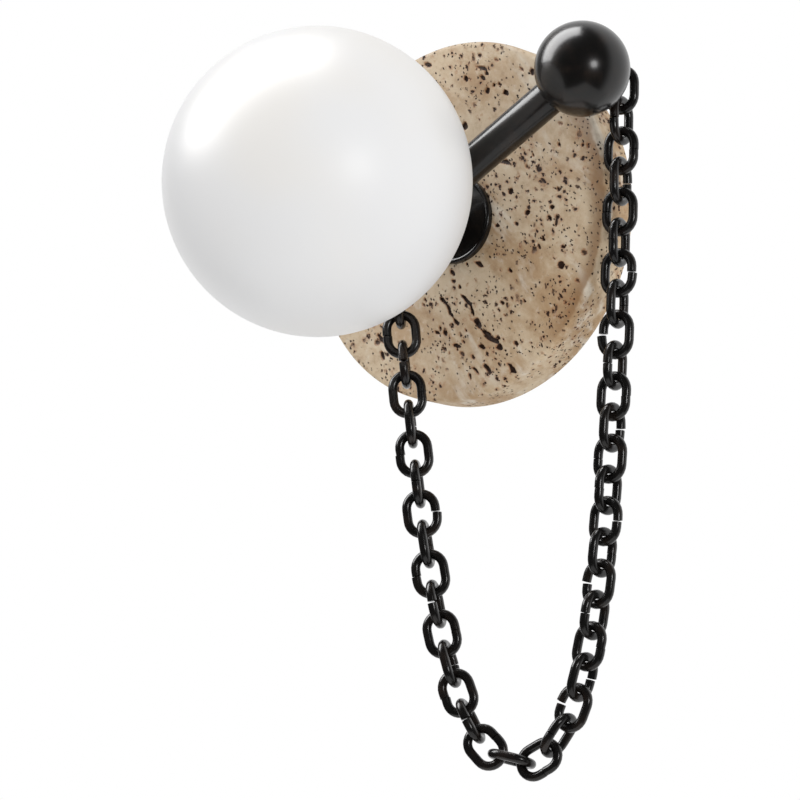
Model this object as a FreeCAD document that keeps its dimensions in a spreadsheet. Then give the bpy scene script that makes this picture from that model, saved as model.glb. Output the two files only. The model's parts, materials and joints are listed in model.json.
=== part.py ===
import FreeCAD
import Part
import Sketcher

import math
import os
import re

from FreeCAD import Matrix, Placement, Rotation, Vector

# Hanging pendant wall sconce: a round stone backplate, a hub and stem, a slanted rod with a ball,
# an opal glass globe and a swag of oval-link chain between the ball and the rod's short end.
#
# Millimetres and degrees. The wall is the plane Y = 0, +Z is up and the light stands out along -Y.
# The origin is the centre of the wall mount. A "standoff" is a distance out from the wall.

SIZES = {
    # running, seat and thread clearances
    "seat_gap": 0.3,
    "thread_clearance": 0.05,
    # stone backplate, seen as a disc from the front
    "stone_radius": 100.0,
    "stone_thickness": 24.0,
    "stone_arris": 1.6,
    "recess_radius": 60.0,
    "recess_depth": 14.0,
    # wall crossbar inside the recess
    "bar_half_length": 56.0,
    "bar_width": 20.0,
    "bar_thickness": 2.5,
    "slot_spacing": 88.9,
    "slot_width": 4.6,
    "slot_length": 14.0,
    # threaded tube through the whole stack, and its lock nuts
    "tube_radius": 5.0,
    "tube_bore": 3.3,
    "tube_setback": 0.5,
    "nut_flats": 14.0,
    "nut_thickness": 4.5,
    # hub flange over the front of the stone
    "hub_radius": 24.2,
    "hub_rim_height": 3.6,
    "hub_bead_width": 2.6,
    "hub_bead_step": 0.9,
    "hub_boss_radius": 10.5,
    "hub_height": 8.5,
    # stem between the hub and the rod
    "stem_radius": 8.5,
    # rod, measured from where it crosses the axis of the stem
    "rod_standoff": 58.8,
    "rod_tilt": 27.85,
    "rod_radius": 9.55,
    "rod_short_reach": 11.0,
    "rod_edge": 0.8,
    "ball_distance": 124.5,
    "ball_radius": 25.4,
    "ball_flat_margin": 0.3,
    "ball_sides": 24,
    "ball_bands": 11,
    "stud_radius": 4.0,
    "stud_sides": 12,
    "stud_depth": 13.0,
    "stud_end_gap": 0.5,
    # screw eyes that hold the two ends of the chain
    "eye_inner_radius": 3.5,
    "eye_wire": 3.5,
    "eye_wire_sides": 8,
    "eye_ring_steps": 12,
    "eye_collar_radius": 3.3,
    "eye_collar_height": 0.8,
    "eye_spotface": 0.4,
    "eye_thread_depth": 4.6,
    "ball_eye_swing": 6.4,
    "ball_eye_lift": 10.0,
    "rod_eye_drop": 8.0,
    "rod_eye_forward": 5.0,
    # oval chain link: round wire bent to an oval, its ends left unwelded
    "link_count": 42,
    "link_wire": 5.0,
    "link_inner_length": 16.77,
    "link_inner_width": 10.4,
    "link_butt_gap": 1.2,
    "link_wire_sides": 6,
    "link_bend_steps": 4,
    "links_per_node": 2,
    "twist_least": -5.0,
    "twist_most": -19.0,
    "twist_period": 21.0,
    "twist_first_least": 5.0,
    # globe fitter in front of the rod, and its spring clips
    "fitter_gap": 2.0,
    "fitter_radius": 36.5,
    "fitter_thickness": 1.5,
    "fitter_boss_radius": 8.5,
    "clip_count": 3,
    "clip_width": 8.0,
    "clip_thickness": 0.6,
    "clip_foot_radius": 9.0,
    "clip_rise": 11.0,
    "clip_mouth_gap": 1.6,
    # opal glass globe
    "globe_radius": 81.4,
    "globe_wall": 3.0,
    "globe_mouth_radius": 34.0,
    "globe_sides": 28,
    "globe_bands": 12,
    "globe_inner_sides": 16,
    "globe_inner_bands": 8,
    # lamp holder and bi-pin bulb
    "holder_radius": 10.5,
    "holder_height": 26.0,
    "holder_socket_depth": 5.0,
    "pin_spacing": 9.0,
    "pin_radius": 0.5,
    "pin_sides": 8,
    "pin_length": 10.0,
    "bulb_base_radius": 7.6,
    "bulb_base_height": 12.0,
    "bulb_radius": 8.0,
    "bulb_glass_height": 32.0,
    "bulb_sides": 16,
    "bulb_end_steps": 3,
}

# Lengths that several pieces share, written once as formulas on the sizes above.
FORMULAS = {
    "thread_hole": "tube_radius + thread_clearance",
    "stone_bore": "tube_radius + seat_gap",
    "hub_top": "stone_thickness + hub_height",
    "rod_seat_radius": "rod_radius + thread_clearance",
    "fitter_back": "rod_standoff + rod_radius + fitter_gap",
    "fitter_front": "fitter_back + fitter_thickness",
    "mouth_standoff": "fitter_front + seat_gap",
    "globe_depth": "sqrt(globe_radius ^ 2 - globe_mouth_radius ^ 2)",
    "globe_standoff": "mouth_standoff + globe_depth",
    "holder_seat": "fitter_front + nut_thickness",
    "tube_end": "holder_seat + holder_socket_depth - seat_gap",
    "holder_top": "holder_seat + holder_height",
    "bulb_seat": "holder_top + seat_gap",
    "bulb_glass_seat": "bulb_seat + bulb_base_height",
    "ball_flat_radius": "rod_radius + ball_flat_margin",
    "ball_flat_distance": "sqrt(ball_radius ^ 2 - ball_flat_radius ^ 2)",
    "rod_length": "rod_short_reach + ball_distance - ball_flat_distance",
    "eye_ring_radius": "eye_inner_radius + eye_wire / 2",
    "eye_reach": "eye_collar_height + eye_ring_radius + eye_wire / 2",
    "eye_hole_radius": "eye_wire / 2 + thread_clearance",
}

ALIAS = re.compile(r"\b([a-z]+(?:_[a-z]+)+)\b")
STEP_FOLDER = "parts"

document = FreeCAD.newDocument("sconce")
sheet = document.addObject("Spreadsheet::Sheet", "sizes")
sub_parts = []


def fill_sheet():
    """Write every size and formula to its own named cell."""
    rows = [(name, repr(number)) for name, number in SIZES.items()]
    rows += [(name, "=" + formula) for name, formula in FORMULAS.items()]
    for row, (name, _) in enumerate(rows, 1):
        sheet.set("A%d" % row, name)
        sheet.setAlias("B%d" % row, name)
    for row, (_, content) in enumerate(rows, 1):
        sheet.set("B%d" % row, content)
    document.recompute()


def linked(expression):
    """The expression with each size read from the sheet."""
    return ALIAS.sub(r"sizes.\1", expression)


def value(expression):
    """The number that an expression on the sizes has now."""
    return float(sheet.evalExpression(linked(expression)))


def bind(thing, path, expression):
    thing.setExpression(path, linked(expression))


def place(thing, at=("0", "0", "0"), axis=Vector(1, 0, 0), angle="0"):
    """Put a piece at a bound position, turned by a bound angle about a fixed axis."""
    turn = value(angle)
    thing.Placement = Placement(Vector(*[value(text) for text in at]), Rotation(axis, turn))
    for name, text in zip("xyz", at):
        bind(thing, "Placement.Base." + name, text)
    if turn:
        bind(thing, "Placement.Rotation.Angle", "(%s) * 1 deg" % angle)


def out_from_wall(thing, standoff="0", x="0", z="0"):
    """Turn a piece's own +Z to point out from the wall, with its foot at a standoff."""
    place(thing, (x, "-(%s)" % standoff, z), Vector(1, 0, 0), "90")


def along_rod(thing, distance):
    """Turn a piece's own +Z along the rod, with its foot at a distance from the stem's axis."""
    at = ("(%s) * cos(rod_tilt * 1 deg)" % distance, "-rod_standoff", "(%s) * sin(rod_tilt * 1 deg)" % distance)
    place(thing, at, Vector(0, 1, 0), "90 - rod_tilt")


def keep(label, thing):
    """Name a finished piece, which is written to a file of that name."""
    thing.Label = label
    sub_parts.append(thing)
    return thing


def primitive(kind, name, **bound):
    thing = document.addObject("Part::" + kind, name)
    for path, expression in bound.items():
        bind(thing, path, expression)
    return thing


def cut(name, base, tools):
    """Base less every tool."""
    tool = tools[0]
    if len(tools) > 1:
        tool = document.addObject("Part::MultiFuse", name + "_tools")
        tool.Shapes = tools
    result = document.addObject("Part::Cut", name)
    result.Base = base
    result.Tool = tool
    return result


def turned(name, outline):
    """A lathe-turned body. The outline lists corners as (radius, height) expressions."""
    body = document.addObject("PartDesign::Body", name)
    sketch = body.newObject("Sketcher::SketchObject", name + "_outline")
    plane = [item for item in body.Origin.OriginFeatures if item.Role == "XZ_Plane"][0]
    sketch.AttachmentSupport = [(plane, "")]
    sketch.MapMode = "FlatFace"
    corners = [Vector(value(radius), value(height), 0) for radius, height in outline]
    following = corners[1:] + corners[:1]
    for corner, after in zip(corners, following):
        sketch.addGeometry(Part.LineSegment(corner, after), False)
    for index, (radius, height) in enumerate(outline):
        after = (index + 1) % len(outline)
        sketch.addConstraint(Sketcher.Constraint("Coincident", index, 2, after, 1))
        pin_corner(sketch, index, radius, "DistanceX", corners[index].x, -2)
        pin_corner(sketch, index, height, "DistanceY", corners[index].y, -1)
    revolution = body.newObject("PartDesign::Revolution", name + "_turning")
    revolution.Profile = sketch
    revolution.ReferenceAxis = (sketch, ["V_Axis"])
    revolution.Angle = 360
    sketch.Visibility = False
    return body


def pin_corner(sketch, index, expression, kind, number, axis):
    """Hold one coordinate of a sketch corner: on the axis where it is zero, else at a bound size."""
    if expression == "0":
        sketch.addConstraint(Sketcher.Constraint("PointOnObject", index, 1, axis))
        return
    constraint = sketch.addConstraint(Sketcher.Constraint(kind, -1, 1, index, 1, number))
    bind(sketch, "Constraints[%d]" % constraint, expression)


def hex_nut(label, seat):
    """A hexagon nut on the threaded tube, its foot at a standoff."""
    flats = primitive(
        "Prism", label + "_blank", Circumradius="nut_flats / (2 * cos(30 deg))", Height="nut_thickness"
    )
    flats.Polygon = 6
    out_from_wall(flats, seat)
    bore = primitive("Cylinder", label + "_bore", Radius="thread_hole", Height="nut_thickness")
    out_from_wall(bore, seat)
    return keep(label, cut(label, flats, [bore]))


def shaped(label, shape):
    """A piece whose shape is worked out from the sheet by this script."""
    thing = document.addObject("Part::Feature", label)
    thing.Shape = shape
    return keep(label, thing)


def polygon(points):
    return Part.makePolygon(list(points) + [points[0]])


def side_faces(rings):
    """Flat four-sided faces between each ring of corners and the next."""
    faces = []
    for lower, upper in zip(rings, rings[1:]):
        for index in range(len(lower)):
            after = (index + 1) % len(lower)
            faces.append(Part.Face(polygon([lower[index], lower[after], upper[after], upper[index]])))
    return faces


def solid_of(faces):
    solid = Part.Solid(Part.Shell(faces))
    if solid.Volume < 0:
        solid.reverse()
    return solid


def faceted_solid(rings, closed=False):
    """A solid through rings of corners, with flat ends unless the rings close on themselves."""
    if closed:
        return solid_of(side_faces(rings + rings[:1]))
    return solid_of(side_faces(rings) + [Part.Face(polygon(rings[0])), Part.Face(polygon(rings[-1]))])


def sphere_rings(radius, sides, first_polar, last_polar, bands):
    """Rings of corners on a sphere about +Z, between two angles from the +Z pole."""
    rings = []
    for band in range(bands + 1):
        polar = math.radians(first_polar + (last_polar - first_polar) * band / bands)
        ring = []
        for side in range(sides):
            turn = 2 * math.pi * side / sides
            flat = radius * math.sin(polar)
            ring.append(Vector(flat * math.cos(turn), flat * math.sin(turn), radius * math.cos(polar)))
        rings.append(ring)
    return rings


def cylinder_between(radius, start, end):
    return Part.makeCylinder(radius, (end - start).Length, start, end - start)


# wall mount -----------------------------------------------------------------------------------


def slot_tools(name, sign):
    """The tools that cut one slot of the crossbar: a box with a round end at each side."""
    straight = "(slot_length - slot_width)"
    middle = "%s slot_spacing / 2" % sign
    box = primitive("Box", name + "_middle", Length=straight, Width="bar_thickness", Height="slot_width")
    place(box, ("%s - %s / 2" % (middle, straight), "-bar_thickness", "-slot_width / 2"))
    tools = [box]
    for side, end in (("left", "-"), ("right", "+")):
        round_end = primitive("Cylinder", name + "_" + side, Radius="slot_width / 2", Height="bar_thickness")
        out_from_wall(round_end, x="%s %s %s / 2" % (middle, end, straight))
        tools.append(round_end)
    return tools


def make_crossbar():
    bar = primitive(
        "Box", "crossbar_blank", Length="bar_half_length * 2", Width="bar_thickness", Height="bar_width"
    )
    place(bar, ("-bar_half_length", "-bar_thickness", "-bar_width / 2"))
    centre = primitive("Cylinder", "crossbar_centre_hole", Radius="thread_hole", Height="bar_thickness")
    out_from_wall(centre)
    tools = [centre] + slot_tools("left_slot", "-") + slot_tools("right_slot", "+")
    return keep("wall_crossbar", cut("wall_crossbar", bar, tools))


def make_threaded_tube():
    """Hollow threaded tube from the crossbar to the lamp holder, which clamps the whole stack."""
    tube = turned(
        "threaded_tube",
        [
            ("tube_bore", "tube_setback"),
            ("tube_radius", "tube_setback"),
            ("tube_radius", "tube_end"),
            ("tube_bore", "tube_end"),
        ],
    )
    out_from_wall(tube)
    return keep("threaded_tube", tube)


# stone and hub --------------------------------------------------------------------------------


def make_stone():
    """Round slab, its front arris eased, with a recess behind for the crossbar and the wires."""
    stone = turned(
        "stone_backplate",
        [
            ("recess_radius", "0"),
            ("stone_radius", "0"),
            ("stone_radius", "stone_thickness - stone_arris"),
            ("stone_radius - stone_arris", "stone_thickness"),
            ("stone_bore", "stone_thickness"),
            ("stone_bore", "recess_depth"),
            ("recess_radius", "recess_depth"),
        ],
    )
    out_from_wall(stone)
    return keep("stone_backplate", stone)


def make_hub():
    """Round flange, tapped for the tube, with a raised bead round its rim and a boss for the stem."""
    bead_inner = "hub_radius - hub_bead_width"
    rim_top = "stone_thickness + hub_rim_height"
    hub = turned(
        "hub_flange",
        [
            ("thread_hole", "stone_thickness"),
            ("hub_radius", "stone_thickness"),
            ("hub_radius", rim_top),
            (bead_inner, rim_top),
            (bead_inner, rim_top + " - hub_bead_step"),
            ("hub_boss_radius", rim_top + " - hub_bead_step"),
            ("hub_boss_radius", "hub_top"),
            ("thread_hole", "hub_top"),
        ],
    )
    out_from_wall(hub)
    return keep("hub_flange", hub)


def rod_saddle(name):
    """A cutter the size of the rod, to seat a piece against it."""
    cutter = primitive("Cylinder", name, Radius="rod_seat_radius", Height="rod_standoff * 2")
    along_rod(cutter, "-rod_standoff")
    return cutter


def make_stem():
    """Round stem on the hub, its front end cut to the round of the rod."""
    blank = turned(
        "stem_blank",
        [
            ("thread_hole", "hub_top"),
            ("stem_radius", "hub_top"),
            ("stem_radius", "rod_standoff"),
            ("thread_hole", "rod_standoff"),
        ],
    )
    out_from_wall(blank)
    return keep("stem", cut("stem", blank, [rod_saddle("stem_saddle")]))


# rod, ball and eyes ---------------------------------------------------------------------------


def make_rod():
    """Round bar, drilled across for the lamp nipple and tapped at each end."""
    blank = turned(
        "rod_blank",
        [
            ("0", "0"),
            ("rod_radius - rod_edge", "0"),
            ("rod_radius", "rod_edge"),
            ("rod_radius", "rod_length"),
            ("stud_radius + thread_clearance", "rod_length"),
            ("stud_radius + thread_clearance", "rod_length - stud_depth"),
            ("0", "rod_length - stud_depth"),
        ],
    )
    along_rod(blank, "-rod_short_reach")
    cross_hole = primitive("Cylinder", "rod_cross_hole", Radius="thread_hole", Height="rod_radius * 2")
    out_from_wall(cross_hole, "rod_standoff - rod_radius")
    eye_pocket = document.addObject("Part::Feature", "rod_eye_pocket")
    eye_pocket.Shape = eye_hole(rod_eye_seat(), rod_eye_direction(), rod_eye_normal())
    return keep("rod", cut("rod", blank, [cross_hole, eye_pocket]))


def rod_direction():
    tilt = math.radians(value("rod_tilt"))
    return Vector(math.cos(tilt), 0, math.sin(tilt))


def on_rod(distance):
    return Vector(0, -value("rod_standoff"), 0) + rod_direction() * distance


def rod_eye_direction():
    """From the rod's short end to its eye, which leans up and forward from the line of the rod."""
    drop = math.radians(value("rod_eye_drop"))
    forward = math.radians(value("rod_eye_forward"))
    return Vector(-math.cos(drop) * math.cos(forward), -math.sin(forward), -math.sin(drop) * math.cos(forward))


def rod_eye_normal():
    """Across the rod's eye, as near to straight out from the wall as its shank allows."""
    outward = rod_eye_direction()
    return (Vector(0, 1, 0) - outward * outward.y).normalize()


def rod_eye_seat():
    return on_rod(-value("rod_short_reach - eye_spotface"))


def eye_hole(seat, outward, across):
    """A cutter for an eye's spotface and threaded hole."""
    sides = int(value("eye_wire_sides"))
    clear = seat + outward * value("rod_radius")
    floor = seat - outward * value("eye_thread_depth")
    spotface = round_bar(seat, clear, value("eye_collar_radius + seat_gap"), sides, across)
    return spotface.fuse(round_bar(floor, seat, value("eye_hole_radius"), sides, across))


def ball_eye_direction():
    """From the middle of the ball to the eye behind it: back to the wall, leaning right and up."""
    swing = math.radians(value("ball_eye_swing"))
    lift = math.radians(value("ball_eye_lift"))
    level = math.cos(lift)
    return Vector(math.sin(swing) * level, math.cos(swing) * level, math.sin(lift))


def ball_eye_normal():
    """Across the ball's eye, square to the hole through it."""
    outward = ball_eye_direction()
    return Vector(outward.y, -outward.x, 0).normalize()


def ball_eye_seat():
    return on_rod(value("ball_distance")) + ball_eye_direction() * value("ball_radius - eye_spotface")


def make_ball():
    """Turned ball with a flat where the rod meets it, and tapped holes for the stud and the eye."""
    centre = on_rod(value("ball_distance"))
    radius = value("ball_radius")
    bands = int(value("ball_bands"))
    flat_polar = math.degrees(math.asin(value("ball_flat_radius") / radius))
    rings = sphere_rings(radius, int(value("ball_sides")), flat_polar, 180 - 90.0 / bands, bands)
    ball = faceted_solid(rings)
    ball.Placement = Placement(centre, Rotation(Vector(0, 0, 1), rod_direction() * -1))
    seat = on_rod(value("ball_distance - ball_flat_distance"))
    stud_end = seat + rod_direction() * value("stud_depth")
    stud_hole = stud_bar(seat, stud_end, value("stud_radius + thread_clearance"))
    return shaped("ball", ball.cut(stud_hole).cut(eye_hole(ball_eye_seat(), ball_eye_direction(), ball_eye_normal())))


def stud_bar(start, end, radius):
    """A straight bar along the rod, for the stud in the ball and the hole that takes it."""
    return round_bar(start, end, radius, int(value("stud_sides")), Vector(0, 1, 0))


def make_ball_stud():
    """Stud that joins the ball to the rod, half of it in each."""
    seat = on_rod(value("ball_distance - ball_flat_distance"))
    reach = rod_direction() * value("stud_depth - stud_end_gap")
    return shaped("ball_stud", stud_bar(seat - reach, seat + reach, value("stud_radius")))


def round_wire_ring(centre, normal, along, ring_radius, wire_radius, sides, steps):
    """A closed ring of round wire as flat facets, its plane square to normal."""
    across = normal.cross(along).normalize()
    rings = []
    for step in range(steps):
        turn = 2 * math.pi * (step + 0.5) / steps
        outward = along * math.cos(turn) + across * math.sin(turn)
        stretch = 1 / math.cos(math.pi / steps)
        rings.append(wire_section(centre + outward * ring_radius, outward, normal, wire_radius, sides, stretch))
    return faceted_solid(rings, closed=True)


def wire_section(middle, outward, normal, wire_radius, sides, stretch):
    """Corners of a wire's section, widened along outward where two straight facets meet at a mitre."""
    corners = []
    for side in range(sides):
        turn = 2 * math.pi * (side + 0.5) / sides
        offset = outward * (wire_radius * math.cos(turn) * stretch)
        corners.append(middle + offset + normal * (wire_radius * math.sin(turn)))
    return corners


def round_bar(start, end, radius, sides, across):
    """A straight bar as flat facets, its corners counted from the direction across."""
    ahead = (end - start).normalize()
    rings = [wire_section(middle, across, ahead.cross(across), radius, sides, 1) for middle in (start, end)]
    return faceted_solid(rings)


def make_eye(label, centre, shank, normal):
    """A screw eye: a wire ring, a collar against the piece that carries it, and a threaded shank."""
    sides = int(value("eye_wire_sides"))
    steps = int(value("eye_ring_steps"))
    wire_radius = value("eye_wire / 2")
    ring = round_wire_ring(centre, normal, shank, value("eye_ring_radius"), wire_radius, sides, steps)
    seat = centre + shank * value("eye_reach")
    collar_foot = seat - shank * value("eye_collar_height")
    thread_start = centre + shank * value("eye_ring_radius")
    thread_end = seat + shank * value("eye_thread_depth - seat_gap")
    collar = round_bar(collar_foot, seat, value("eye_collar_radius"), sides, normal)
    thread = round_bar(thread_start, thread_end, wire_radius, sides, normal)
    return shaped(label, ring.fuse([collar, thread]).removeSplitter())


# chain ----------------------------------------------------------------------------------------


class Swag:
    """A chain of equal links hung between two rings, each link free to lean at its neighbours.

    Under its own weight the slope of the pull grows by the same amount from link to link. The link
    whose pull is level, that growth and the heading of the chain are solved so that the last link
    meets the second ring.
    """

    def __init__(self, first_ring, first_normal, last_ring, last_normal):
        self.first_ring = first_ring
        self.first_normal = first_normal
        self.last_ring = last_ring
        self.last_normal = last_normal
        self.count = int(value("link_count"))
        self.bend_radius = value("(link_inner_width + link_wire) / 2")
        self.straight = value("link_inner_length - link_inner_width")
        self.ring_radius = value("eye_ring_radius")
        self.link_touch = value("link_wire + seat_gap")
        self.ring_touch = value("(link_wire + eye_wire) / 2 + seat_gap")
        self.solve()

    def twist(self, index):
        """Angle of a link's width from the plane of the chain, every other link a quarter turn on.

        On top of the quarter turns the chain leans back and forth a little along its length.
        """
        wave = math.cos(2 * math.pi * (index - value("twist_first_least")) / value("twist_period"))
        lean = value("twist_least") + value("twist_most - twist_least") * (1 - wave) / 2
        return math.radians(90 * index + lean)

    def pull(self, joint):
        """Direction of the pull at a joint, from the first ring towards the last."""
        slope = (joint - self.level_joint) * self.slope_step
        ahead = Vector(-math.cos(self.heading), -math.sin(self.heading), slope)
        return ahead.normalize()

    def frame(self, index):
        """A link's length, width and thickness directions."""
        length = (self.pull(index) + self.pull(index + 1)).normalize()
        sideways = Vector(math.sin(self.heading), -math.cos(self.heading), 0)
        in_plane = length.cross(sideways)
        turn = self.twist(index)
        width = in_plane * math.cos(turn) + sideways * math.sin(turn)
        return length, width, length.cross(width)

    @staticmethod
    def bend_towards(pull, normal):
        """Where on a bend the pull bears: its direction, laid in the plane of the bend."""
        return (pull - normal * pull.dot(normal)).normalize()

    def lay_out(self):
        """Each link's middle and directions, and where the last ring would have to be."""
        frames = [self.frame(index) for index in range(self.count)]
        pull = self.pull(0)
        bend = self.first_ring + self.bend_towards(pull, self.first_normal) * self.ring_radius
        bend += self.bend_towards(pull, frames[0][2]) * self.bend_radius - pull * self.ring_touch
        links = []
        for index, (length, width, thickness) in enumerate(frames):
            links.append((bend + length * (self.straight / 2), length, width, thickness))
            pull = self.pull(index + 1)
            bend += length * self.straight + self.bend_towards(pull, thickness) * self.bend_radius
            if index + 1 < self.count:
                bend += self.bend_towards(pull, frames[index + 1][2]) * self.bend_radius
                bend -= pull * self.link_touch
        end = bend + self.bend_towards(pull, self.last_normal) * self.ring_radius - pull * self.ring_touch
        return links, end

    def miss(self, guess):
        """How far the chain's end lies from the last ring, for a level joint, slope step and heading."""
        self.level_joint, self.slope_step, self.heading = guess
        return self.lay_out()[1] - self.last_ring

    def solve(self, rounds=40, nudge=1e-5, close_enough=1e-7):
        """Newton's method on the three unknowns, with short steps at first."""
        span = self.first_ring - self.last_ring
        guess = [self.count * 0.55, 0.9, math.atan2(span.y, span.x)]
        longest = [1.0, 0.15, 0.1]
        for _ in range(rounds):
            miss = self.miss(guess)
            if miss.Length < close_enough:
                break
            columns = []
            for index in range(3):
                nudged = list(guess)
                nudged[index] += nudge
                columns.append((self.miss(nudged) - miss) * (1 / nudge))
            one, two, three = columns
            slopes = Matrix(
                one.x, two.x, three.x, 0, one.y, two.y, three.y, 0, one.z, two.z, three.z, 0, 0, 0, 0, 1
            )
            step = slopes.inverse().multVec(miss * -1)
            for index, change in enumerate((step.x, step.y, step.z)):
                guess[index] += max(-longest[index], min(longest[index], change))
        self.miss(guess)


def make_link(middle, length, width, thickness):
    """An oval of round wire, open at a butt joint half way along one side."""
    wire_radius = value("link_wire / 2")
    sides = int(value("link_wire_sides"))
    steps = int(value("link_bend_steps"))
    bend_radius = value("(link_inner_width + link_wire) / 2")
    half_straight = value("(link_inner_length - link_inner_width) / 2")
    half_butt = value("link_butt_gap / 2")
    half_turn = math.pi / (2 * steps)
    reach = bend_radius / math.cos(half_turn)
    stretch = 1 / math.cos(half_turn)
    start = middle + width * bend_radius
    rings = [wire_section(start + length * half_butt, width, thickness, wire_radius, sides, 1)]
    for sign in (1, -1):
        bend_middle = middle + length * (sign * half_straight)
        for step in range(steps):
            turn = math.pi * (step + 0.5) / steps
            outward = (width * math.cos(turn) + length * math.sin(turn)) * sign
            rings.append(wire_section(bend_middle + outward * reach, outward, thickness, wire_radius, sides, stretch))
    rings.append(wire_section(start - length * half_butt, width, thickness, wire_radius, sides, 1))
    return faceted_solid(rings)


def make_chain(swag):
    """The links in groups of neighbours, each link its own solid."""
    links = [make_link(*link) for link in swag.lay_out()[0]]
    group = int(value("links_per_node"))
    for first in range(0, len(links), group):
        members = links[first : first + group]
        label = "chain_links_%02d_%02d" % (first + 1, first + len(members))
        shaped(label, Part.makeCompound(members))


# globe fitter, lamp holder and bulb -----------------------------------------------------------


def make_fitter_plate():
    """Round plate that the globe's mouth sits on, with a boss behind that is cut to the rod."""
    blank = turned(
        "fitter_blank",
        [
            ("thread_hole", "rod_standoff"),
            ("fitter_boss_radius", "rod_standoff"),
            ("fitter_boss_radius", "fitter_back"),
            ("fitter_radius", "fitter_back"),
            ("fitter_radius", "fitter_front"),
            ("thread_hole", "fitter_front"),
        ],
    )
    out_from_wall(blank)
    return keep("fitter_plate", cut("fitter_plate", blank, [rod_saddle("fitter_saddle")]))


def make_globe_clips():
    """Leaf springs that reach through the mouth and bear on the glass behind its edge."""
    thickness = value("clip_thickness")
    foot = value("fitter_front")
    mouth = value("globe_mouth_radius")
    inner_mouth = math.sqrt(value("(globe_radius - globe_wall) ^ 2 - globe_depth ^ 2"))
    crest = inner_mouth - value("clip_mouth_gap")
    rise = value("clip_rise")
    spine = [
        (value("clip_foot_radius"), foot),
        (crest - 4, foot),
        (crest - 2.5, foot + 1.5),
        (crest, foot + rise * 0.55),
        (crest - (mouth - crest) * 0.4, foot + rise),
    ]
    inner = [(radius, height + thickness) for radius, height in spine[:2]]
    inner += [(radius - thickness, height + thickness * 0.4) for radius, height in spine[2:]]
    outline = [Vector(radius, -height, 0) for radius, height in spine + inner[::-1]]
    half_width = value("clip_width / 2")
    strip = Part.Face(polygon(outline)).extrude(Vector(0, 0, half_width * 2))
    strip.translate(Vector(0, 0, -half_width))
    count = int(value("clip_count"))
    clips = []
    for index in range(count):
        clip = strip.copy()
        clip.rotate(Vector(0, 0, 0), Vector(0, 1, 0), 360.0 * (index + 0.25) / count)
        clips.append(clip)
    return shaped("globe_clips", Part.makeCompound(clips))


def globe_skin(radius, sides, bands):
    """A faceted sphere cut flat at the mouth's plane, its middle at the origin."""
    mouth_polar = math.degrees(math.acos(value("globe_depth") / radius))
    return faceted_solid(sphere_rings(radius, sides, mouth_polar, 180 - 90.0 / bands, bands))


def make_globe():
    """Blown globe with a ground mouth: a faceted sphere inside another, both cut at the mouth."""
    radius = value("globe_radius")
    outer = globe_skin(radius, int(value("globe_sides")), int(value("globe_bands")))
    inner_radius = radius - value("globe_wall")
    inner = globe_skin(inner_radius, int(value("globe_inner_sides")), int(value("globe_inner_bands")))
    globe = outer.cut(inner)
    globe.Placement = Placement(Vector(0, -value("globe_standoff"), 0), Rotation(Vector(1, 0, 0), -90))
    return shaped("globe", globe)


def pin_pair(name, radius, foot, height):
    """Two like bars, one for each pin of the bulb."""
    pair = []
    for side, sign in (("left", "-"), ("right", "+")):
        pin = primitive("Prism", name + "_" + side, Circumradius=radius, Height=height)
        pin.Polygon = int(value("pin_sides"))
        out_from_wall(pin, foot, x=sign + " pin_spacing / 2")
        pair.append(pin)
    return pair


def make_lamp_holder():
    """Porcelain bi-pin holder, tapped behind for the tube and holed in front for the pins."""
    blank = turned(
        "holder_blank",
        [
            ("thread_hole", "holder_seat"),
            ("holder_radius", "holder_seat"),
            ("holder_radius", "holder_top"),
            ("0", "holder_top"),
            ("0", "holder_seat + holder_socket_depth"),
            ("thread_hole", "holder_seat + holder_socket_depth"),
        ],
    )
    out_from_wall(blank)
    depth = "pin_length + seat_gap"
    holes = pin_pair("pin_hole", "pin_radius + seat_gap", "holder_top - (%s)" % depth, depth)
    return keep("lamp_holder", cut("lamp_holder", blank, holes))


def make_bulb_glass():
    """Glass capsule: a straight wall and a round end, as flat facets."""
    radius = value("bulb_radius")
    foot = value("bulb_glass_seat")
    shoulder = foot + value("bulb_glass_height") - radius
    steps = int(value("bulb_end_steps"))
    heights = [(radius, foot)]
    for step in range(steps):
        turn = math.pi / 2 * step / steps
        heights.append((radius * math.cos(turn), shoulder + radius * math.sin(turn)))
    sides = int(value("bulb_sides"))
    turns = [2 * math.pi * side / sides for side in range(sides)]
    rings = [[Vector(r * math.cos(turn), -height, r * math.sin(turn)) for turn in turns] for r, height in heights]
    return shaped("bulb_glass", faceted_solid(rings))


def make_bulb():
    """Bi-pin bulb: two pins, a round base and a glass capsule with a rounded end."""
    base = turned(
        "bulb_base",
        [
            ("0", "bulb_seat"),
            ("bulb_base_radius", "bulb_seat"),
            ("bulb_base_radius", "bulb_glass_seat"),
            ("0", "bulb_glass_seat"),
        ],
    )
    out_from_wall(base)
    keep("bulb_base", base)
    top = "bulb_glass_seat + bulb_glass_height"
    make_bulb_glass()
    pins = document.addObject("Part::Compound", "bulb_pins")
    pins.Links = pin_pair("bulb_pin", "pin_radius", "bulb_seat - pin_length", "pin_length")
    keep("bulb_pins", pins)


def write_parts():
    """Check every object and write each piece to its own STEP file."""
    document.recompute()
    for thing in document.Objects:
        faults = [state for state in thing.State if state in ("Invalid", "Error")]
        if faults:
            raise RuntimeError("%s is %s" % (thing.Name, faults))
    os.makedirs(STEP_FOLDER, exist_ok=True)
    for thing in sub_parts:
        shape = thing.Shape
        if shape.isNull() or not shape.isValid():
            raise RuntimeError("%s has no valid shape" % thing.Label)
        shape.exportStep(os.path.join(STEP_FOLDER, thing.Label + ".step"))
        print("%-22s %2d solid(s) %12.1f mm3" % (thing.Label, len(shape.Solids), shape.Volume))


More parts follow.
